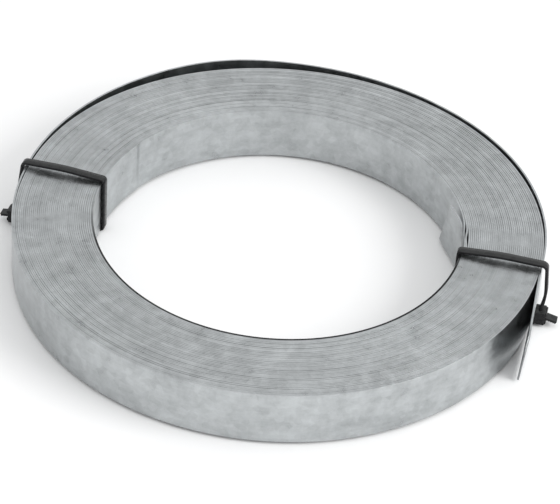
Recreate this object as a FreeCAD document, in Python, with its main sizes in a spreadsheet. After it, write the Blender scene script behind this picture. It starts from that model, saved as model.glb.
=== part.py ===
import FreeCAD, Part
import math
import os
import Sketcher

# A roll of galvanised steel mounting strap, lying flat and held by two cable ties.
# The frame: Z up, origin on the roll's axis at the level it rests on, azimuths are
# counted in degrees from +X towards +Y.  The strap winds outwards clockwise as seen
# from above.  Lengths are in millimetres.

doc = FreeCAD.newDocument("steel_mounting_strap_roll")


# ------------------------------------------------------------- driving dimensions

SIZES = [
    ("strap_width", 30.0, "width of the strap, the height of the roll"),
    ("strap_thickness", 1.0, "thickness of one turn"),
    ("bore_radius", 96.0, "inner face of the innermost turn"),
    ("coil_radius", 137.7, "outer face of the tightly wound turns"),
    ("turn_count", 41.0, "turns that show on each end"),
    ("turn_groove_depth", 0.3, "depth of the line between two turns"),
    ("turn_groove_width", 0.3, "width of the line between two turns"),
    ("left_tie_azimuth", 167.6, "where the left cable tie crosses the roll"),
    ("right_tie_azimuth", -10.4, "where the right cable tie crosses the roll"),
    ("tie_thickness", 1.6, "thickness of a tie's band"),
    ("tie_width", 4.8, "width of a tie's band"),
    ("tie_inner_bend", 0.8, "inside bend of the band at the bore"),
    ("tie_arch", 2.2, "how far the band stands off the roll's top"),
    ("left_tie_bow", 1.2, "how far the left band stands off the roll's outside"),
    ("right_tie_bow", 3.4, "how far the right band stands off the roll's outside"),
    ("tie_corner", 0.3, "how far the top band's end stands past the outside band"),
    ("tie_clearance", 0.3, "between the band or head and the roll's outside"),
    ("left_tie_slant", 11.0, "sideways run of the left band down the roll's outside"),
    ("right_tie_slant", -6.0, "sideways run of the right band down the roll's outside"),
    ("head_width", 7.8, "cable tie head, along the roll's outside"),
    ("head_height", 7.6, "cable tie head, upwards"),
    ("head_depth", 6.4, "cable tie head, outwards"),
    ("head_lift", 1.6, "underside of the head above the rest level"),
    ("head_chamfer", 0.8, "chamfer on the head's outer edges"),
    ("left_stub_length", 4.0, "cut end of the band that stands out of the left head"),
    ("right_stub_length", 5.6, "cut end of the band that stands out of the right head"),
    ("left_stub_drop", 1.0, "how far the left cut end droops"),
    ("right_stub_drop", 1.8, "how far the right cut end droops"),
    ("slant_top_azimuth", 13.5, "upper end of the slanting cut on the inner end"),
    ("slant_foot_azimuth", 20.0, "lower end of the slanting cut on the inner end"),
    ("step_azimuth", 144.5, "where the innermost turn stops short of the wall"),
    ("tail_length", 55.0, "straight free end of the strap"),
    ("tail_turn", -89.0, "heading of the free end, counted from the radius"),
]

sheet = doc.addObject("Spreadsheet::Sheet", "sizes")
for row, (alias, value, meaning) in enumerate(SIZES, start=1):
    sheet.set("A%d" % row, meaning)
    sheet.set("B%d" % row, repr(value))
    sheet.setAlias("B%d" % row, alias)
doc.recompute()


def size(alias):
    """A driving dimension, read back from the sheet."""
    return float(sheet.get(alias))


TURN_COUNT = int(round(size("turn_count")))
THICKNESS = size("strap_thickness")
BOTTOM = size("tie_thickness")
TOP = BOTTOM + size("strap_width")
BORE = size("bore_radius")
WALL = BORE + THICKNESS
OUTSIDE = size("coil_radius")
OVERLAP = 0.3 * THICKNESS
INNER_CLEARANCE = 0.05

# the tie's band over the top is highest at mid-width; shares of its arch and bow
ARCH_AT_BORE = 0.3
ARCH_AT_OUTSIDE = 0.6
BOW_AT_TOP = 0.4
CROWN_BEND = 120.0


# ------------------------------------------------------------------ small helpers

def polar(radius, azimuth):
    """A point of the ground plane from its radius and azimuth."""
    angle = math.radians(azimuth)
    return FreeCAD.Vector(radius * math.cos(angle), radius * math.sin(angle), 0.0)


def new_body(name):
    """An empty body whose label names its file."""
    body = doc.addObject("PartDesign::Body", name)
    body.Label = name
    return body


def new_sketch(body, role, name, lift=None):
    """A sketch on one of the body's own planes, lifted by an expression."""
    plane = [item for item in body.Origin.OriginFeatures if item.Role == role][0]
    sketch = body.newObject("Sketcher::SketchObject", name)
    sketch.AttachmentSupport = [(plane, "")]
    sketch.MapMode = "FlatFace"
    if lift:
        sketch.setExpression(".AttachmentOffset.Base.z", lift)
    return sketch


def new_pad(body, sketch, name, length, midplane=False):
    """A pad of a sketch, its length bound to an expression."""
    pad = body.newObject("PartDesign::Pad", name)
    pad.Profile = sketch
    pad.setExpression("Length", length)
    if midplane:
        pad.SideType = "Symmetric"
    sketch.Visibility = False
    return pad


def add_polygon(sketch, points):
    """Straight edges through the points and back to the first."""
    for here, there in zip(points, points[1:] + points[:1]):
        sketch.addGeometry(Part.LineSegment(here, there), False)


def add_curve(sketch, points):
    """A smooth curve through the points."""
    curve = Part.BSplineCurve()
    curve.interpolate(points)
    sketch.addGeometry(curve, False)


def add_band(sketch, inner, outer):
    """A band between two smooth curves, closed by straight ends."""
    add_curve(sketch, inner)
    sketch.addGeometry(Part.LineSegment(inner[-1], outer[-1]), False)
    add_curve(sketch, outer)
    sketch.addGeometry(Part.LineSegment(outer[0], inner[0]), False)


# --------------------------------------------------------------- the tight turns

def add_ring(body):
    """The tightly wound turns, turned about the roll's axis."""
    sketch = new_sketch(body, "XZ_Plane", "turns_section")
    corners = [
        FreeCAD.Vector(WALL, BOTTOM, 0),
        FreeCAD.Vector(OUTSIDE, BOTTOM, 0),
        FreeCAD.Vector(OUTSIDE, TOP, 0),
        FreeCAD.Vector(WALL, TOP, 0),
    ]
    add_polygon(sketch, corners)
    for edge in range(4):
        sketch.addConstraint(Sketcher.Constraint("Coincident", edge, 2, (edge + 1) % 4, 1))
    for edge in (0, 2):
        sketch.addConstraint(Sketcher.Constraint("Horizontal", edge))
    for edge in (1, 3):
        sketch.addConstraint(Sketcher.Constraint("Vertical", edge))
    bound = [
        ("DistanceX", (-1, 1, 0, 1), WALL, "sizes.bore_radius + sizes.strap_thickness"),
        ("DistanceX", (-1, 1, 0, 2), OUTSIDE, "sizes.coil_radius"),
        ("DistanceY", (-1, 1, 0, 1), BOTTOM, "sizes.tie_thickness"),
        ("DistanceY", (1, 1, 1, 2), TOP - BOTTOM, "sizes.strap_width"),
    ]
    for kind, ends, value, expression in bound:
        index = sketch.addConstraint(Sketcher.Constraint(kind, *ends, value))
        sketch.setExpression("Constraints[%d]" % index, expression)
    ring = body.newObject("PartDesign::Revolution", "tight_turns")
    ring.Profile = sketch
    ring.ReferenceAxis = (sketch, ["V_Axis"])
    ring.Angle = 360.0
    sketch.Visibility = False


def add_turn_lines(body):
    """The fine line between every two turns, sunk into both ends of the roll."""
    pitch = (OUTSIDE - WALL) / (TURN_COUNT - 1)
    half = 0.5 * size("turn_groove_width")
    depth = size("turn_groove_depth")
    sketch = new_sketch(body, "XZ_Plane", "turn_lines_section")
    for turn in range(1, TURN_COUNT - 1):
        middle = WALL + turn * pitch
        for level, outwards in ((TOP, 1.0), (BOTTOM, -1.0)):
            rim = level + outwards * depth
            add_polygon(sketch, [
                FreeCAD.Vector(middle, level - outwards * depth, 0),
                FreeCAD.Vector(middle + 2.0 * half, rim, 0),
                FreeCAD.Vector(middle - 2.0 * half, rim, 0),
            ])
    lines = body.newObject("PartDesign::Groove", "turn_lines")
    lines.Profile = sketch
    lines.ReferenceAxis = (sketch, ["V_Axis"])
    lines.Angle = 360.0
    sketch.Visibility = False


# ------------------------------------------------------- the outer half turn

# radius of the loose half turn's outer face beyond the tight turns, by azimuth
LOOSE_TURN = [
    (205.0, -0.45),
    (188.0, 0.3),
    (168.0, 1.05),
    (148.0, 3.3),
    (128.0, 6.3),
    (106.0, 9.3),
    (84.0, 6.3),
    (60.0, 4.4),
    (28.0, 4.3),
    (6.0, 2.9),
    (-10.4, 0.8),
]

# how far the outer turns are slack under it, in the same way
SLACK_TURNS = [
    (172.0, -0.2),
    (150.0, 1.3),
    (128.0, 2.1),
    (90.0, 2.2),
    (55.0, 2.2),
    (28.0, 1.9),
    (6.0, 1.0),
    (-14.0, -0.2),
]


def add_slack_turns(body):
    """The outer turns where they bulge over the back."""
    outer = [polar(OUTSIDE + gap, azimuth) for azimuth, gap in SLACK_TURNS]
    inner = [polar(OUTSIDE - THICKNESS, azimuth) for azimuth, _ in SLACK_TURNS]
    sketch = new_sketch(body, "XY_Plane", "slack_turns_outline", "sizes.tie_thickness")
    add_band(sketch, inner, outer)
    new_pad(body, sketch, "slack_turns", "sizes.strap_width")


def add_loose_turn(body):
    """The slack half turn over the back, from tie to tie, with its straight end."""
    outer = [polar(OUTSIDE + gap, azimuth) for azimuth, gap in LOOSE_TURN]
    inner = [polar(OUTSIDE + gap - THICKNESS, azimuth) for azimuth, gap in LOOSE_TURN]
    sketch = new_sketch(body, "XY_Plane", "loose_turn_outline", "sizes.tie_thickness")
    add_band(sketch, inner, outer)
    new_pad(body, sketch, "loose_turn", "sizes.strap_width")

    start = LOOSE_TURN[-1][0]
    heading = FreeCAD.Vector(*polar(1.0, start + size("tail_turn")))
    root_in = inner[-1] - heading * THICKNESS
    root_out = outer[-1] - heading * THICKNESS
    reach = heading * (size("tail_length") + THICKNESS)
    sketch = new_sketch(body, "XY_Plane", "tail_outline", "sizes.tie_thickness")
    add_polygon(sketch, [root_in, root_in + reach, root_out + reach, root_out])
    new_pad(body, sketch, "tail", "sizes.strap_width")


# ------------------------------------------------------- the innermost turn

# faces of the lifted inner end, as radius beyond the bore, by azimuth
LIFTED_START = -8.4
LIFTED_INNER = [(LIFTED_START, 0.0), (0.0, -0.2), (6.0, -1.0), (12.0, -2.8), (20.0, -3.8)]
LIFTED_OUTER = [(LIFTED_START, 3.3), (-2.0, 2.7), (6.0, 1.0), (12.0, -0.6), (20.0, -2.8)]
GAP_OUTER = [(LIFTED_START, 3.3), (-2.0, 3.6), (6.0, 2.2), (12.0, 0.9)]


def add_inner_turn(body):
    """The innermost turn, from the lifted end round the front to its step."""
    start = size("step_azimuth")
    end = 360.0 + LIFTED_START
    centre = FreeCAD.Vector(0, 0, 0)
    up = FreeCAD.Vector(0, 0, 1)
    sketch = new_sketch(body, "XY_Plane", "inner_turn_outline", "sizes.tie_thickness")
    for radius in (BORE, WALL + OVERLAP):
        circle = Part.Circle(centre, up, radius)
        arc = Part.ArcOfCircle(circle, math.radians(start), math.radians(end))
        sketch.addGeometry(arc, False)
    for azimuth in (start, end):
        side = Part.LineSegment(polar(BORE, azimuth), polar(WALL + OVERLAP, azimuth))
        sketch.addGeometry(side, False)
    new_pad(body, sketch, "inner_turn", "sizes.strap_width")


def add_lifted_end(body):
    """The sprung inner end beside the right tie, with the slot behind it."""
    slot_inner = [polar(BORE + reach, azimuth) for azimuth, reach in LIFTED_OUTER[:-1]]
    slot_outer = [polar(BORE + reach, azimuth) for azimuth, reach in GAP_OUTER]
    sketch = new_sketch(body, "XY_Plane", "slot_outline", "sizes.tie_thickness")
    add_curve(sketch, slot_inner)
    sketch.addGeometry(Part.LineSegment(slot_inner[-1], slot_outer[-1]), False)
    add_curve(sketch, slot_outer)
    slot = body.newObject("PartDesign::Pocket", "slot")
    slot.Profile = sketch
    slot.Reversed = True
    slot.setExpression("Length", "sizes.strap_width")
    sketch.Visibility = False

    inner = [polar(BORE + reach, azimuth) for azimuth, reach in LIFTED_INNER]
    outer = [polar(BORE + reach, azimuth) for azimuth, reach in LIFTED_OUTER]
    sketch = new_sketch(body, "XY_Plane", "lifted_end_outline", "sizes.tie_thickness")
    add_band(sketch, inner, outer)
    new_pad(body, sketch, "lifted_end", "sizes.strap_width")


def add_slant_cut(body):
    """The slanting cut across the lifted inner end."""
    near = polar(BORE, size("slant_top_azimuth")).y
    far = polar(BORE, size("slant_foot_azimuth")).y - THICKNESS
    beyond = far + 10.0 * THICKNESS
    sketch = new_sketch(body, "YZ_Plane", "slant_outline", "sizes.bore_radius * 0.8")
    corners = [
        FreeCAD.Vector(far, BOTTOM - THICKNESS, 0),
        FreeCAD.Vector(beyond, BOTTOM - THICKNESS, 0),
        FreeCAD.Vector(beyond, TOP + THICKNESS, 0),
        FreeCAD.Vector(near, TOP + THICKNESS, 0),
    ]
    add_polygon(sketch, corners)
    cut = body.newObject("PartDesign::Pocket", "slant_cut")
    cut.Profile = sketch
    cut.Reversed = True
    cut.setExpression("Length", "sizes.bore_radius * 0.13")
    sketch.Visibility = False


def build_coil():
    """The whole strap as one solid."""
    body = new_body("strap_coil")
    add_ring(body)
    add_turn_lines(body)
    add_inner_turn(body)
    add_lifted_end(body)
    add_slant_cut(body)
    add_slack_turns(body)
    add_loose_turn(body)
    return body


# ----------------------------------------------------------------- the cable ties

def add_rounded(sketch, corners, bends):
    """A closed outline of straight edges, with a round bend where one is given."""
    count = len(corners)
    entries = []
    exits = []
    for index in range(count):
        here = corners[index]
        if not bends[index]:
            entries.append(here)
            exits.append(here)
            continue
        back = (corners[index - 1] - here).normalize()
        ahead = (corners[(index + 1) % count] - here).normalize()
        half = 0.5 * back.getAngle(ahead)
        reach = bends[index] / math.tan(half)
        middle = (back + ahead).normalize()
        centre = here + middle * (bends[index] / math.sin(half))
        entries.append(here + back * reach)
        exits.append(here + ahead * reach)
        arc = Part.Arc(entries[-1], centre - middle * bends[index], exits[-1])
        sketch.addGeometry(arc, False)
    for index in range(count):
        edge = Part.LineSegment(exits[index], entries[(index + 1) % count])
        sketch.addGeometry(edge, False)


def add_tie_top(body, inner, outer, bow):
    """The band up the bore and over the roll's top, which it stands off."""
    band = size("tie_thickness")
    arch = size("tie_arch")
    far = outer + BOW_AT_TOP * bow + band + size("tie_corner")
    middle = 0.5 * (inner + outer)
    corners = [
        FreeCAD.Vector(inner - band, 0, 0),
        FreeCAD.Vector(inner, 0, 0),
        FreeCAD.Vector(inner, TOP + ARCH_AT_BORE * arch, 0),
        FreeCAD.Vector(middle, TOP + arch, 0),
        FreeCAD.Vector(far, TOP + ARCH_AT_OUTSIDE * arch, 0),
        FreeCAD.Vector(far, TOP + ARCH_AT_OUTSIDE * arch + band, 0),
        FreeCAD.Vector(middle, TOP + arch + band, 0),
        FreeCAD.Vector(inner - band, TOP + ARCH_AT_BORE * arch + band, 0),
    ]
    tight = size("tie_inner_bend")
    slight = 0.5 * tight
    crown = CROWN_BEND * tight
    bends = [slight, 0.0, tight, crown, 0.0, slight, crown, tight + band]
    sketch = new_sketch(body, "XZ_Plane", body.Label + "_top_outline")
    add_rounded(sketch, corners, bends)
    new_pad(body, sketch, body.Label + "_top", "sizes.tie_width", midplane=True)


def add_tie_bottom(body, inner, outer, slant):
    """The band beneath the roll, which the roll rests on."""
    band = size("tie_thickness")
    half = 0.5 * size("tie_width")
    corners = [
        FreeCAD.Vector(inner - 0.5 * band, -half, 0),
        FreeCAD.Vector(outer + 0.5 * band, slant - half, 0),
        FreeCAD.Vector(outer + 0.5 * band, slant + half, 0),
        FreeCAD.Vector(inner - 0.5 * band, half, 0),
    ]
    sketch = new_sketch(body, "XY_Plane", body.Label + "_bottom_outline")
    add_polygon(sketch, corners)
    new_pad(body, sketch, body.Label + "_bottom", "sizes.tie_thickness")


def add_tie_side(body, outer, slant, bow):
    """The slanting, bowed band down the roll's outside."""
    band = size("tie_thickness")
    half = 0.5 * size("tie_width")
    slim = half - size("tie_corner")
    crown = TOP + ARCH_AT_OUTSIDE * size("tie_arch") + 0.5 * band
    levels = [
        ("low", 0.0, 0.0, slant, half),
        ("mid", 0.5 * (BOTTOM + TOP), bow, 0.5 * slant, half),
        ("high", crown, BOW_AT_TOP * bow, 0.0, slim),
    ]
    sketches = []
    for label, level, stand, shift, reach in levels:
        name = "%s_side_%s" % (body.Label, label)
        sketch = new_sketch(body, "XY_Plane", name)
        sketch.AttachmentOffset = FreeCAD.Placement(
            FreeCAD.Vector(0, 0, level), FreeCAD.Rotation())
        near = outer + stand
        add_polygon(sketch, [
            FreeCAD.Vector(near, shift - reach, 0),
            FreeCAD.Vector(near + band, shift - reach, 0),
            FreeCAD.Vector(near + band, shift + reach, 0),
            FreeCAD.Vector(near, shift + reach, 0),
        ])
        sketch.Visibility = False
        sketches.append(sketch)
    side = body.newObject("PartDesign::AdditiveLoft", body.Label + "_side")
    side.Profile = sketches[0]
    side.Sections = sketches[1:]
    side.Ruled = True


def add_tie_head(body, outer, slant, reach, drop):
    """The head on the roll's outside, and the cut end that stands out of it."""
    foot = size("head_lift")
    crown = foot + size("head_height")
    front = outer + size("head_depth")
    cut = size("head_chamfer")
    middle = 0.5 * (foot + crown)
    shift = slant * (TOP - middle) / (TOP - BOTTOM)
    half = 0.5 * size("tie_thickness")
    tip = front + reach
    head = [
        FreeCAD.Vector(outer, foot, 0),
        FreeCAD.Vector(front - cut, foot, 0),
        FreeCAD.Vector(front, foot + cut, 0),
        FreeCAD.Vector(front, crown - cut, 0),
        FreeCAD.Vector(front - cut, crown, 0),
        FreeCAD.Vector(outer, crown, 0),
    ]
    stub = [
        FreeCAD.Vector(front - 2.0 * half, middle - half, 0),
        FreeCAD.Vector(tip - half, middle - half - drop, 0),
        FreeCAD.Vector(tip, middle + half - drop, 0),
        FreeCAD.Vector(front - 2.0 * half, middle + half, 0),
    ]
    for label, corners, width in (("head", head, "head_width"), ("stub", stub, "tie_width")):
        name = "%s_%s" % (body.Label, label)
        sketch = new_sketch(body, "XZ_Plane", name + "_outline")
        sketch.AttachmentOffset = FreeCAD.Placement(
            FreeCAD.Vector(0, 0, -shift), FreeCAD.Rotation())
        add_polygon(sketch, corners)
        new_pad(body, sketch, name, "sizes.%s" % width, midplane=True)


def build_tie(side, outside):
    """One cable tie, moulded in one piece, at its place on the roll."""
    body = new_body("cable_tie_%s" % side)
    inner = BORE - INNER_CLEARANCE
    outer = outside + size("tie_clearance")
    slant = size("%s_tie_slant" % side)
    bow = size("%s_tie_bow" % side)
    add_tie_bottom(body, inner, outer, slant)
    add_tie_top(body, inner, outer, bow)
    add_tie_side(body, outer, slant, bow)
    stub = [size("%s_stub_%s" % (side, what)) for what in ("length", "drop")]
    add_tie_head(body, outer, slant, *stub)
    body.setExpression(".Placement.Rotation.Angle", "sizes.%s_tie_azimuth" % side)
    body.Placement.Rotation.Axis = FreeCAD.Vector(0, 0, 1)
    return body


# -------------------------------------------------------------- build and write

PARTS = [
    build_coil(),
    build_tie("left", OUTSIDE + LOOSE_TURN[2][1]),
    build_tie("right", OUTSIDE + LOOSE_TURN[-1][1]),
]
doc.recompute()

for item in doc.Objects:
    if "Invalid" in item.State or "Error" in item.State:
        raise RuntimeError("%s did not build: %s" % (item.Name, item.State))

os.makedirs("parts", exist_ok=True)
for part in PARTS:
    shape = part.Shape
    if shape.isNull() or not shape.isValid() or len(shape.Solids) != 1:
        raise RuntimeError("%s is not one valid solid" % part.Label)
    box = shape.BoundBox
    print("%s: volume %.0f, x %.2f..%.2f, y %.2f..%.2f, z %.2f..%.2f" % (
        part.Label, shape.Volume, box.XMin, box.XMax, box.YMin, box.YMax, box.ZMin, box.ZMax))
    shape.exportStep("parts/%s.step" % part.Label)
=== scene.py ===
import bisect
import math
import random

import bpy
from mathutils import Matrix, Vector


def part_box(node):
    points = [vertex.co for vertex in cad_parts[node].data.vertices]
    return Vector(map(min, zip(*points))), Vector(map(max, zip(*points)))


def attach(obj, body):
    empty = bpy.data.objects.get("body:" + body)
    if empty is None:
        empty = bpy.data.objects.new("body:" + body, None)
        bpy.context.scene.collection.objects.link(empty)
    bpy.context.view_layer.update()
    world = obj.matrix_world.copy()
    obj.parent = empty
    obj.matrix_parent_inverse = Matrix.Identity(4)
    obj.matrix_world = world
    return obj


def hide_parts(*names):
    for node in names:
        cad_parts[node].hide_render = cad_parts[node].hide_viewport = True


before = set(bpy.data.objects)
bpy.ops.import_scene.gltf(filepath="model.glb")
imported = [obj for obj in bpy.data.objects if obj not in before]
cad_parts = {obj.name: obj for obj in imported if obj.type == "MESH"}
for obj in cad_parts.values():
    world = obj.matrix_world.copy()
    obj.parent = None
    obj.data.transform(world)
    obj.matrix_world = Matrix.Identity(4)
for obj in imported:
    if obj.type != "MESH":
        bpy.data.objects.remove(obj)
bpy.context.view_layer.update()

# A roll of galvanised steel mounting strap with its two cable ties, in metres.
# Azimuths are degrees from +X towards +Y; the strap winds outwards clockwise.

MM = 0.001


# ------------------------------------------------------------------- sizes

COIL_LOW, COIL_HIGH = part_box("strap_coil")
BOTTOM = COIL_LOW[2]
TOP = COIL_HIGH[2]
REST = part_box("cable_tie_right")[0][2]

THICKNESS = 1.0 * MM
BORE = 96.0 * MM
OUTSIDE = 137.7 * MM
TURNS = 41
PITCH = (OUTSIDE - BORE) / TURNS
EDGE_ROUND = 0.07 * MM

LEFT_TIE = 167.6
RIGHT_TIE = -10.4
LEFT_STAND = 1.05 * MM
RIGHT_STAND = 0.8 * MM
INNER_TIP = 20.0
LIFT_START = -8.4
STEP_AT = 144.5
TAIL_LENGTH = 55.0 * MM
TAIL_TURN = -89.0
TAIL_LEAN = 2.2 * MM
LOOSE_RISE = 1.1 * MM

STEPS_PER_TURN = 220
TAIL_STEPS = 12
JOG_LENGTH = 0.004
JOG_FADE_TURNS = 9.0
JOG_SHARE = 0.7
LOOSE_TURN_LENGTH = 0.6
LOOSE_BLEND = 0.1
SLANT_REACH = 0.07

TIE_WIDTH = 4.8 * MM
TIE_THICKNESS = 1.6 * MM
TIE_ARCH = 2.2 * MM
TIE_INNER_BEND = 1.6 * MM
TIE_OUTER_BEND = 2.6 * MM
TIE_INNER_CLEARANCE = 0.05 * MM
TIE_OUTER_CLEARANCE = 0.3 * MM
TIE_EDGE_CUT = 0.35 * MM

# the band's path over the top and outside: shares of its arch and bow, and wide bends
ARCH_AT_BORE = 0.3
ARCH_AT_OUTSIDE = 0.7
BOW_AT_TOP = 0.4
SIDE_BEND = 12.0 * TIE_OUTER_BEND
CROWN_BEND = 40.0 * TIE_OUTER_BEND

HEAD_WIDTH = 7.8 * MM
HEAD_HEIGHT = 7.6 * MM
HEAD_DEPTH = 6.4 * MM
HEAD_LIFT = 1.6 * MM
HEAD_LIP = 0.8 * MM
STUB_TEETH = 6

# each tie's stand-off from the tight turns, slant, bow, and its cut end's length and droop
LEFT_SHAPE = (LEFT_STAND, 11.0 * MM, 1.2 * MM, 4.0 * MM, 1.0 * MM)
RIGHT_SHAPE = (RIGHT_STAND, -6.0 * MM, 3.4 * MM, 5.6 * MM, 1.8 * MM)

# outer face of the slack half turn beyond the tight turns, in millimetres, by azimuth
LOOSE_TURN = [
    (-10.4, 0.8), (6.0, 2.9), (28.0, 4.3), (60.0, 4.4), (84.0, 6.3), (106.0, 9.3),
    (128.0, 6.3), (148.0, 3.3), (168.0, 1.05), (188.0, 0.3), (205.0, -0.45),
]

# how far the outer tight turns bulge under it, in the same way
SLACK_TURNS = [
    (-14.0, -0.1), (6.0, 1.1), (28.0, 1.9), (55.0, 2.2), (90.0, 2.2), (128.0, 2.1),
    (150.0, 1.3), (172.0, -0.1),
]


# ----------------------------------------------------------- small helpers

def polar(radius, azimuth):
    """Plan point from a radius and an azimuth in degrees."""
    angle = math.radians(azimuth)
    return Vector((radius * math.cos(angle), radius * math.sin(angle)))


def smooth(value):
    """Smooth step from 0 to 1."""
    value = min(1.0, max(0.0, value))
    return value * value * (3.0 - 2.0 * value)


def hermite(table, x):
    """Smooth interpolation through the pairs of a table sorted by its first column."""
    last = len(table) - 1
    x = min(max(x, table[0][0]), table[-1][0])
    i = min(last - 1, max(0, bisect.bisect_right([row[0] for row in table], x) - 1))

    def slope(k):
        low = max(0, k - 1)
        high = min(last, k + 1)
        return (table[high][1] - table[low][1]) / (table[high][0] - table[low][0])

    width = table[i + 1][0] - table[i][0]
    u = (x - table[i][0]) / width
    start = (1 + 2 * u) * (1 - u) ** 2 * table[i][1] + u * (1 - u) ** 2 * width * slope(i)
    end = u * u * (3 - 2 * u) * table[i + 1][1] - u * u * (1 - u) * width * slope(i + 1)
    return start + end


class Wobble:
    """A smooth seeded value along the strap: a few sine waves of random phase."""

    def __init__(self, seed, waves):
        dice = random.Random(seed)
        self.waves = [(amount, rate, dice.uniform(0, 2 * math.pi)) for amount, rate in waves]

    def __call__(self, turn):
        return sum(amount * math.sin(2 * math.pi * rate * turn + phase)
                   for amount, rate, phase in self.waves)


def new_object(name, vertices, faces, normals=None, smooth_faces=True):
    """A mesh object, linked into the scene."""
    mesh = bpy.data.meshes.new(name)
    mesh.from_pydata(vertices, [], faces)
    mesh.validate()
    mesh.update()
    for face in mesh.polygons:
        face.use_smooth = smooth_faces
    if normals:
        mesh.normals_split_custom_set_from_vertices(normals)
    made = bpy.data.objects.new(name, mesh)
    bpy.context.scene.collection.objects.link(made)
    return made


# ---------------------------------------------------------- the strap's path

LAST_TURN = TURNS + (INNER_TIP - RIGHT_TIE) / 360.0
LOOSE_FROM = LAST_TURN - LOOSE_TURN_LENGTH
TIGHT_GAP = Wobble(11, [(0.03 * MM, 0.37), (0.03 * MM, 1.9), (0.02 * MM, 3.3)])
EDGE_RISE = Wobble(12, [(0.06 * MM, 0.31), (0.05 * MM, 0.83), (0.03 * MM, 1.7)])


def bulge(azimuth, width):
    """A bump that starts beside the right tie and fades out over some degrees."""
    share = (azimuth - LIFT_START) / width
    return math.sin(math.pi * share) ** 2 if 0.0 < share < 1.0 else 0.0


def inner_shift(turn, azimuth):
    """How far the turns next to the bore spring off the roll beside the right tie."""
    if turn < 0.2:
        lift = smooth((azimuth - LIFT_START) / 24.0)
        spring = -3.6 * MM * lift ** 3
        return spring - 0.9 * MM * bulge(azimuth, 15.0) if azimuth < 6.0 else spring
    if 0.9 < turn < 1.2:
        return -0.9 * MM * bulge(azimuth, 15.0)
    if 1.9 < turn < 2.2:
        return -0.8 * MM * bulge(azimuth, 11.0)
    return 0.0


def slack(turn, azimuth):
    """How far a turn bulges over the back; the outer turns most."""
    if not SLACK_TURNS[0][0] < azimuth < SLACK_TURNS[-1][0]:
        return 0.0
    return max(0.0, hermite(SLACK_TURNS, azimuth)) * MM * (turn / TURNS) ** 2


def step_share(turn):
    """The jog of the innermost turns, which fades out over the next ones."""
    within = turn - math.floor(turn)
    jog_at = (INNER_TIP + 360.0 - STEP_AT) / 360.0
    ramp = smooth((within - jog_at) / JOG_LENGTH + 0.5)
    fade = max(0.0, 1.0 - turn / JOG_FADE_TURNS)
    return JOG_SHARE * PITCH * fade * (ramp - within)


def strap_point(turn):
    """Plan point of the strap's centre line, counted in turns from its inner end."""
    if turn > LAST_TURN:
        run = (turn - LAST_TURN) * TAIL_LENGTH
        heading = polar(1.0, RIGHT_TIE + TAIL_TURN)
        radius = OUTSIDE + RIGHT_STAND - 0.5 * THICKNESS
        return polar(radius, RIGHT_TIE) + heading * run
    azimuth = INNER_TIP - 360.0 * turn
    wrapped = (azimuth + 180.0) % 360.0 - 180.0
    radius = BORE + 0.5 * THICKNESS + PITCH * (turn - 0.08)
    radius += step_share(turn) + inner_shift(turn, wrapped) + slack(turn, wrapped)
    if turn > LOOSE_FROM:
        loose_azimuth = wrapped if wrapped > RIGHT_TIE - 1.0 else wrapped + 360.0
        loose = OUTSIDE + hermite(LOOSE_TURN, loose_azimuth) * MM - 0.5 * THICKNESS
        radius += (loose - radius) * smooth((turn - LOOSE_FROM) / LOOSE_BLEND)
    return polar(radius, azimuth)


def slanted_turn(turn, share):
    """Turns counted so that the inner end is cut on a slant; share is 0 low, 1 high."""
    slant = 6.0 / 360.0
    return turn + slant * share * max(0.0, 1.0 - turn / SLANT_REACH)


def strap_section(turn):
    """Corner points of the strap's section, as (across, height share, z, normal)."""
    gap = 0.02 * MM + abs(TIGHT_GAP(turn)) if turn < LOOSE_FROM else 0.0
    half = 0.5 * (THICKNESS - gap)
    rise = EDGE_RISE(turn)
    if turn > LOOSE_FROM:
        over = math.sin(math.pi * min(1.0, (turn - LOOSE_FROM) / (LAST_TURN - LOOSE_FROM)))
        rise += LOOSE_RISE * over ** 2
    low = BOTTOM + 0.1 * MM + 0.5 * rise
    high = TOP - 0.12 * MM + rise
    cut = EDGE_ROUND
    return [
        (half, 0.0, low + cut, (1, 0)),
        (half, 1.0, high - cut, (1, 0)),
        (half - cut, 1.0, high, (0, 1)),
        (cut - half, 1.0, high, (0, 1)),
        (-half, 1.0, high - cut, (-1, 0)),
        (-half, 0.0, low + cut, (-1, 0)),
        (cut - half, 0.0, low, (0, -1)),
        (half - cut, 0.0, low, (0, -1)),
    ]


def build_strap():
    """The whole strap: one ribbon wound from its lifted inner end to its free end."""
    turns = [step / STEPS_PER_TURN for step in range(int(LAST_TURN * STEPS_PER_TURN))]
    turns += [LAST_TURN + step / TAIL_STEPS for step in range(TAIL_STEPS + 1)]
    vertices = []
    normals = []
    faces = []
    step = 0.25 / STEPS_PER_TURN
    for turn in turns:
        for across, share, z, (side, up) in strap_section(turn):
            at = slanted_turn(turn, share)
            here = strap_point(at)
            ahead = strap_point(at + step)
            behind = strap_point(max(0.0, at - step))
            along = (ahead - behind).normalized()
            outwards = Vector((-along.y, along.x))
            lean = TAIL_LEAN * max(0.0, turn - LAST_TURN) * (share - 0.5)
            place = here + outwards * (across + lean)
            vertices.append((place.x, place.y, z))
            normals.append((outwards.x * side, outwards.y * side, up))
    corners = 8
    for ring in range(len(turns) - 1):
        base = ring * corners
        for corner in range(corners):
            after = (corner + 1) % corners
            faces.append((base + corner, base + after,
                          base + corners + after, base + corners + corner))
    last = (len(turns) - 1) * corners
    faces.append(tuple(reversed(range(corners))))
    faces.append(tuple(last + corner for corner in range(corners)))
    return new_object("strap", vertices, faces, normals)


# ------------------------------------------------------------ the cable ties

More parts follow.
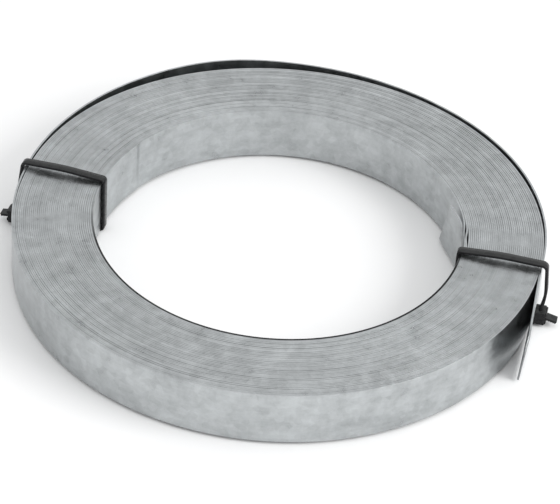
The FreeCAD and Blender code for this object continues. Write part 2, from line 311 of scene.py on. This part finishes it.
def rounded_loop(corners, bends, arc_steps=7):
    """Points of a closed outline with a round bend at every corner."""
    count = len(corners)
    points = []
    for index in range(count):
        here = corners[index]
        back = (corners[index - 1] - here).normalized()
        ahead = (corners[(index + 1) % count] - here).normalized()
        half = 0.5 * back.angle(ahead)
        middle = (back + ahead).normalized()
        centre = here + middle * (bends[index] / math.sin(half))
        start = here + back * (bends[index] / math.tan(half)) - centre
        end = here + ahead * (bends[index] / math.tan(half)) - centre
        for step in range(arc_steps + 1):
            share = step / arc_steps
            spoke = start.lerp(end, share).normalized() * bends[index]
            points.append(centre + spoke)
    return points


def divided(points, longest):
    """A closed run of points with its long edges divided."""
    result = []
    for here, there in zip(points, points[1:] + points[:1]):
        pieces = max(1, int((there - here).length / longest + 0.5))
        result += [here.lerp(there, step / pieces) for step in range(pieces)]
    return result


def band_section():
    """Section of a tie's band: across its width and through its thickness."""
    half_width = 0.5 * TIE_WIDTH
    half = 0.5 * TIE_THICKNESS
    cut = TIE_EDGE_CUT
    return [
        (-half_width, half - cut), (-half_width + cut, half), (half_width - cut, half),
        (half_width, half - cut), (half_width, cut - half), (half_width - cut, -half),
        (cut - half_width, -half), (-half_width, cut - half),
    ]


def band_parts(outside, slant, bow):
    """Vertices and faces of a tie's band, X outwards and Z up, about the axis."""
    half = 0.5 * TIE_THICKNESS
    inner = BORE - TIE_INNER_CLEARANCE - half
    outer = outside + half
    low = BOTTOM - half
    top = TOP + half
    corners = [
        Vector((inner, low)),
        Vector((outer, low)),
        Vector((outer + bow, 0.5 * (BOTTOM + TOP))),
        Vector((outer + BOW_AT_TOP * bow, top + ARCH_AT_OUTSIDE * TIE_ARCH)),
        Vector((0.5 * (inner + outer), top + TIE_ARCH)),
        Vector((inner, top + ARCH_AT_BORE * TIE_ARCH)),
    ]
    bends = [TIE_INNER_BEND, TIE_OUTER_BEND, SIDE_BEND,
             TIE_OUTER_BEND, CROWN_BEND, TIE_INNER_BEND]
    path = divided(rounded_loop(corners, bends), 1.2 * MM)
    section = band_section()
    count = len(path)
    size = len(section)
    vertices = []
    faces = []
    for index, here in enumerate(path):
        along = (path[(index + 1) % count] - path[index - 1]).normalized()
        out = Vector((along.y, -along.x))
        for across, depth in section:
            place = here + out * depth
            reach = smooth((place.x - inner) / (outer - inner))
            drop = min(1.0, max(0.0, (TOP - place.y) / (TOP - BOTTOM)))
            vertices.append((place.x, across + slant * reach * drop, place.y))
    for index in range(count):
        base = index * size
        ahead = ((index + 1) % count) * size
        for corner in range(size):
            after = (corner + 1) % size
            faces.append((base + corner, base + after, ahead + after, ahead + corner))
    return vertices, faces


def block_parts(outline, width):
    """A prism of an outline in the XZ plane, centred across Y."""
    count = len(outline)
    vertices = [(x, side * 0.5 * width, z) for side in (-1, 1) for x, z in outline]
    faces = [tuple(range(count)), tuple(reversed(range(count, 2 * count)))]
    for here in range(count):
        after = (here + 1) % count
        faces.append((after, here, count + here, count + after))
    return vertices, faces


def joined(parts):
    """Several vertex and face lists as one."""
    vertices = []
    faces = []
    for more, sides in parts:
        base = len(vertices)
        vertices += more
        faces += [tuple(base + corner for corner in side) for side in sides]
    return vertices, faces


def head_parts(back):
    """The tie's head: a block with a frame round the mouth that the band leaves by."""
    front = back + HEAD_DEPTH
    foot = REST + HEAD_LIFT
    crown = foot + HEAD_HEIGHT
    lip = HEAD_LIP
    body = block_parts([(back, foot), (front - lip, foot), (front - lip, crown), (back, crown)],
                       HEAD_WIDTH)
    face = []
    middle = 0.5 * (foot + crown)
    mouth = 0.9 * TIE_THICKNESS
    for low, high in ((foot + 0.4 * MM, middle - mouth), (middle + mouth, crown - 0.4 * MM)):
        face.append(block_parts([(front - lip - 0.2 * MM, low), (front, low + 0.3 * MM),
                                 (front, high), (front - lip - 0.2 * MM, high)],
                                HEAD_WIDTH - 0.8 * MM))
    return joined([body] + face)


def stub_parts(back, reach, drop):
    """The cut end of the band, standing out of the head, with its teeth below."""
    half = 0.5 * TIE_THICKNESS
    front = back + HEAD_DEPTH
    middle = REST + HEAD_LIFT + 0.5 * HEAD_HEIGHT
    start = front - 2.4 * half
    tip = front + reach
    slope = -drop / (tip - start)
    upper = [(tip, middle + half - drop), (start, middle + half)]
    lower = [(start, middle - half)]
    for tooth in range(STUB_TEETH):
        for share, depth in ((0.15, 0.0), (0.5, 0.3 * MM), (0.9, 0.0)):
            x = start + (tip - half - start) * (tooth + share) / STUB_TEETH
            lower.append((x, middle - half + slope * (x - start) + depth))
    lower.append((tip - half, middle - half - drop))
    return block_parts(lower + upper, TIE_WIDTH)


def bevelled(made, width, segments=2):
    """Round an object's edges and keep its faces flat."""
    bevel = made.modifiers.new("edges", "BEVEL")
    bevel.width = width
    bevel.segments = segments
    bevel.limit_method = "ANGLE"
    bevel.harden_normals = True
    return made


def build_tie(name, node, azimuth, shape, material):
    """One cable tie's band, head and cut end at its azimuth."""
    stand, slant, bow, reach, drop = shape
    turn = Matrix.Rotation(math.radians(azimuth), 4, "Z")
    outside = OUTSIDE + stand + TIE_OUTER_CLEARANCE
    head_middle = REST + HEAD_LIFT + 0.5 * HEAD_HEIGHT
    shift = Vector((0.0, slant * (TOP - head_middle) / (TOP - BOTTOM), 0.0))
    still = Vector((0.0, 0.0, 0.0))
    shapes = [
        ("band", band_parts(outside, slant, bow), None, still),
        ("head", head_parts(outside), 0.45 * MM, shift),
        ("cut_end", stub_parts(outside, reach, drop), 0.12 * MM, shift),
    ]
    for label, (vertices, faces), edge, offset in shapes:
        placed = [turn @ (Vector(place) + offset) for place in vertices]
        piece = new_object("%s_%s" % (name, label), placed, faces)
        if edge:
            bevelled(piece, edge)
        piece.data.materials.append(material)
        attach(piece, "root")
        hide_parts(node)


# ------------------------------------------------------------ material tools

class Value:
    """A shader socket that can be used in plain arithmetic."""

    def __init__(self, tree, socket):
        self.tree = tree
        self.socket = socket

    def _math(self, operation, first, second=None):
        return self.tree.math(operation, first, second)

    def __add__(self, other):
        return self._math("ADD", self, other)

    def __radd__(self, other):
        return self._math("ADD", other, self)

    def __sub__(self, other):
        return self._math("SUBTRACT", self, other)

    def __rsub__(self, other):
        return self._math("SUBTRACT", other, self)

    def __mul__(self, other):
        return self._math("MULTIPLY", self, other)

    def __rmul__(self, other):
        return self._math("MULTIPLY", other, self)

    def __truediv__(self, other):
        return self._math("DIVIDE", self, other)

    def __rtruediv__(self, other):
        return self._math("DIVIDE", other, self)

    def __pow__(self, other):
        return self._math("POWER", self, other)


class Shader:
    """A new material with a principled shader, and short ways to add nodes to it."""

    def __init__(self, name):
        self.material = bpy.data.materials.new(name)
        self.material.use_nodes = True
        self.tree = self.material.node_tree
        self.surface = self.tree.nodes["Principled BSDF"]

    def put(self, socket, value):
        """Link a value to a socket, or set the socket."""
        if isinstance(value, Value):
            self.tree.links.new(value.socket, socket)
        else:
            socket.default_value = value

    def node(self, kind, settings=None, values=None, output=0):
        """Add a node: its settings first, then its sockets; give one output."""
        made = self.tree.nodes.new(kind)
        for key, value in (settings or {}).items():
            setattr(made, key, value)
        for key, value in (values or {}).items():
            self.put(made.inputs[key], value)
        return Value(self, made.outputs[output])

    def math(self, operation, first, second=None):
        values = {0: first}
        if second is not None:
            values[1] = second
        return self.node("ShaderNodeMath", {"operation": operation}, values)

    def place(self):
        """Position on the object, in metres."""
        return self.node("ShaderNodeTexCoord", output="Object")

    def split(self, vector):
        """The three parts of a vector."""
        made = self.tree.nodes.new("ShaderNodeSeparateXYZ")
        self.put(made.inputs[0], vector)
        return [Value(self, output) for output in made.outputs]

    def join(self, x, y, z):
        return self.node("ShaderNodeCombineXYZ", values={0: x, 1: y, 2: z})

    def noise(self, vector, scale, detail=2.0, rough=0.5):
        return self.node("ShaderNodeTexNoise",
                         values={"Vector": vector, "Scale": scale, "Detail": detail,
                                 "Roughness": rough})

    def ramp(self, value, low, high, to_low=0.0, to_high=1.0):
        """A value rescaled and clamped from one range to another."""
        return self.node("ShaderNodeMapRange", {"clamp": True},
                         {"Value": value, "From Min": low, "From Max": high,
                          "To Min": to_low, "To Max": to_high})

    def blend(self, factor, first, second):
        """A colour between two colours."""
        made = self.tree.nodes.new("ShaderNodeMix")
        made.data_type = "RGBA"
        self.put(made.inputs[0], factor)
        self.put(made.inputs[6], first)
        self.put(made.inputs[7], second)
        return Value(self, made.outputs[2])

    def bump(self, height, strength, distance):
        return self.node("ShaderNodeBump",
                         values={"Height": height, "Strength": strength, "Distance": distance})

    def finish(self, **values):
        """Set or link the principled shader's sockets, spaces for underscores."""
        for key, value in values.items():
            self.put(self.surface.inputs[key.replace("_", " ")], value)
        return self.material


# ---------------------------------------------------------------- materials

def galvanised_steel():
    """Bright zinc: metallic, softly mottled, with fine marks along the strap and a painted
    shade line on the bore's near top edge.
    """
    mat = Shader("galvanised_steel")
    place = mat.place()
    x, y, z = mat.split(place)
    radius = mat.math("SQRT", x * x + y * y)
    angle = mat.math("ARCTAN2", y, x)
    lap = mat.math("FLOOR", (radius - BORE) / PITCH + angle / (2 * math.pi))
    tint = mat.node("ShaderNodeTexWhiteNoise", {"noise_dimensions": "1D"}, {"W": lap})

    along = mat.join(angle * 8.0, radius / PITCH * 0.9, z * 400.0)
    streak = mat.noise(along, 1.0, 4.0, 0.65)
    blotch = mat.noise(place, 28.0, 3.0, 0.6)
    bands = mat.noise(mat.join(angle * 0.9, radius / PITCH * 0.33, z * 30.0), 1.0, 3.0, 0.7)
    cells = mat.node("ShaderNodeTexVoronoi", {"feature": "F1"},
                     {"Vector": place, "Scale": 260.0}, output="Color")
    spangle = mat.split(cells)[0]
    cloud = mat.noise(place, 110.0, 6.0, 0.72)
    grain = mat.noise(place, 1500.0, 2.0, 0.6)

    shade = (0.32 * mat.ramp(cloud, 0.35, 0.65) + 0.18 * spangle + 0.08 * tint
             + 0.14 * mat.ramp(streak, 0.3, 0.7) + 0.16 * mat.ramp(bands, 0.35, 0.65)
             + 0.12 * mat.ramp(blotch, 0.35, 0.65))
    colour = mat.blend(shade, (0.310, 0.323, 0.328, 1.0), (0.620, 0.645, 0.653, 1.0))
    speck = mat.ramp(mat.noise(place, 420.0, 3.0, 0.7), 0.70, 0.78)
    colour = mat.blend(speck * 0.35, colour, (0.22, 0.22, 0.22, 1.0))
    # painted shade: a near-black line along the innermost turn's top edge on the near side,
    # where that edge lies in shade
    lip = mat.ramp(radius, BORE + 0.9 * MM, BORE + 1.2 * MM, 1.0, 0.0)
    lip = lip * mat.ramp(z, TOP - 0.5 * MM, TOP - 0.2 * MM) * mat.ramp(y, 0.01, -0.03)
    colour = mat.blend(lip, colour, (0.03, 0.03, 0.03, 1.0))
    rough = 0.22 + 0.12 * mat.ramp(cloud, 0.3, 0.7) + 0.05 * spangle + 0.06 * grain
    height = 0.5 * streak + 0.2 * grain + 0.3 * cloud
    return mat.finish(Base_Color=colour, Metallic=1.0, Roughness=rough,
                      Normal=mat.bump(height, 0.25, 0.08 * MM))


def black_nylon():
    """Moulded black nylon: satin, with a faint flow texture and a painted lighter sheen where
    it faces up.
    """
    mat = Shader("black_nylon")
    place = mat.place()
    cloud = mat.noise(place, 260.0, 3.0, 0.5)
    grain = mat.noise(place, 2600.0, 2.0, 0.6)
    colour = mat.blend(mat.ramp(cloud, 0.3, 0.7), (0.006, 0.006, 0.007, 1.0),
                       (0.012, 0.012, 0.013, 1.0))
    normal = mat.node("ShaderNodeNewGeometry", output="Normal")
    # painted sheen: a lighter grey on upward faces, standing in for the sky's reflection on the
    # top of the band
    painted_top_sheen = mat.ramp(mat.split(normal)[2], 0.6, 0.95) * mat.ramp(cloud, 0.2, 0.7, 0.6, 1.0)
    colour = mat.blend(painted_top_sheen, colour, (0.030, 0.031, 0.031, 1.0))
    rough = 0.20 + 0.12 * mat.ramp(cloud, 0.3, 0.7) + 0.05 * grain
    return mat.finish(Base_Color=colour, Roughness=rough, Specular_IOR_Level=0.2,
                      Normal=mat.bump(0.6 * grain + 0.4 * cloud, 0.3, 0.05 * MM))


# --------------------------------------------------------- stage and camera

def build_floor():
    """A plain white floor at the rest level."""
    half = 3.0
    floor = new_object("floor", [(-half, -half, REST), (half, -half, REST),
                                 (half, half, REST), (-half, half, REST)], [(0, 1, 2, 3)])
    mat = Shader("floor_white")
    floor.data.materials.append(mat.finish(Base_Color=(0.9, 0.9, 0.9, 1.0), Roughness=0.9,
                                           Specular_IOR_Level=0.0))


def build_world():
    """A plain sky: white to the camera, light grey to everything else."""
    world = bpy.data.worlds.new("studio")
    bpy.context.scene.world = world
    world.use_nodes = True
    tree = world.node_tree
    backdrop = tree.nodes["Background"]
    path = tree.nodes.new("ShaderNodeLightPath")
    mix = tree.nodes.new("ShaderNodeMixShader")
    seen = tree.nodes.new("ShaderNodeBackground")
    backdrop.inputs["Color"].default_value = (0.90, 0.905, 0.91, 1.0)
    backdrop.inputs["Strength"].default_value = 1.0
    seen.inputs["Color"].default_value = (1.0, 1.0, 1.0, 1.0)
    tree.links.new(path.outputs["Is Camera Ray"], mix.inputs[0])
    tree.links.new(backdrop.outputs[0], mix.inputs[1])
    tree.links.new(seen.outputs[0], mix.inputs[2])
    tree.links.new(mix.outputs[0], tree.nodes["World Output"].inputs["Surface"])


def add_light(name, place, target, width, power):
    """A square soft light aimed at a point."""
    data = bpy.data.lights.new(name, "AREA")
    data.shape = "SQUARE"
    data.size = width
    data.energy = power
    light = bpy.data.objects.new(name, data)
    light.location = place
    light.rotation_euler = (Vector(target) - Vector(place)).to_track_quat("-Z", "Y").to_euler()
    bpy.context.scene.collection.objects.link(light)


def build_camera():
    """A long lens, looking down on the front of the roll."""
    elevation = math.radians(38.29)
    roll = math.radians(4.29)
    distance = 1.2222
    target = Vector((0.0020, -0.0091, 0.5 * (BOTTOM + TOP)))
    data = bpy.data.cameras.new("camera")
    data.sensor_width = 36.0
    data.lens = 150.8786
    data.clip_start = 0.05
    data.clip_end = 20.0
    camera = bpy.data.objects.new("camera", data)
    look = Vector((0.0, math.cos(elevation), -math.sin(elevation)))
    aim = look.to_track_quat("-Z", "Y").to_matrix().to_4x4()
    camera.matrix_world = (Matrix.Translation(target - look * distance)
                           @ aim @ Matrix.Rotation(roll, 4, "Z"))
    bpy.context.scene.collection.objects.link(camera)
    bpy.context.scene.camera = camera


# -------------------------------------------------------------------- make

bpy.context.scene.view_settings.view_transform = "Standard"
build_camera()
build_floor()
build_world()
MIDDLE = (0.0, 0.0, 0.5 * (BOTTOM + TOP))
add_light("key", (1.3, -0.5, 1.0), MIDDLE, 0.9, 16.0)
add_light("overhead", (0.0, 0.0, 2.0), MIDDLE, 1.2, 3.0)

STEEL = galvanised_steel()
NYLON = black_nylon()

strap = build_strap()
strap.data.materials.append(STEEL)
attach(strap, "root")
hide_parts("strap_coil")

build_tie("tie_left", "cable_tie_left", LEFT_TIE, LEFT_SHAPE, NYLON)
build_tie("tie_right", "cable_tie_right", RIGHT_TIE, RIGHT_SHAPE, NYLON)

bpy.context.view_layer.update()
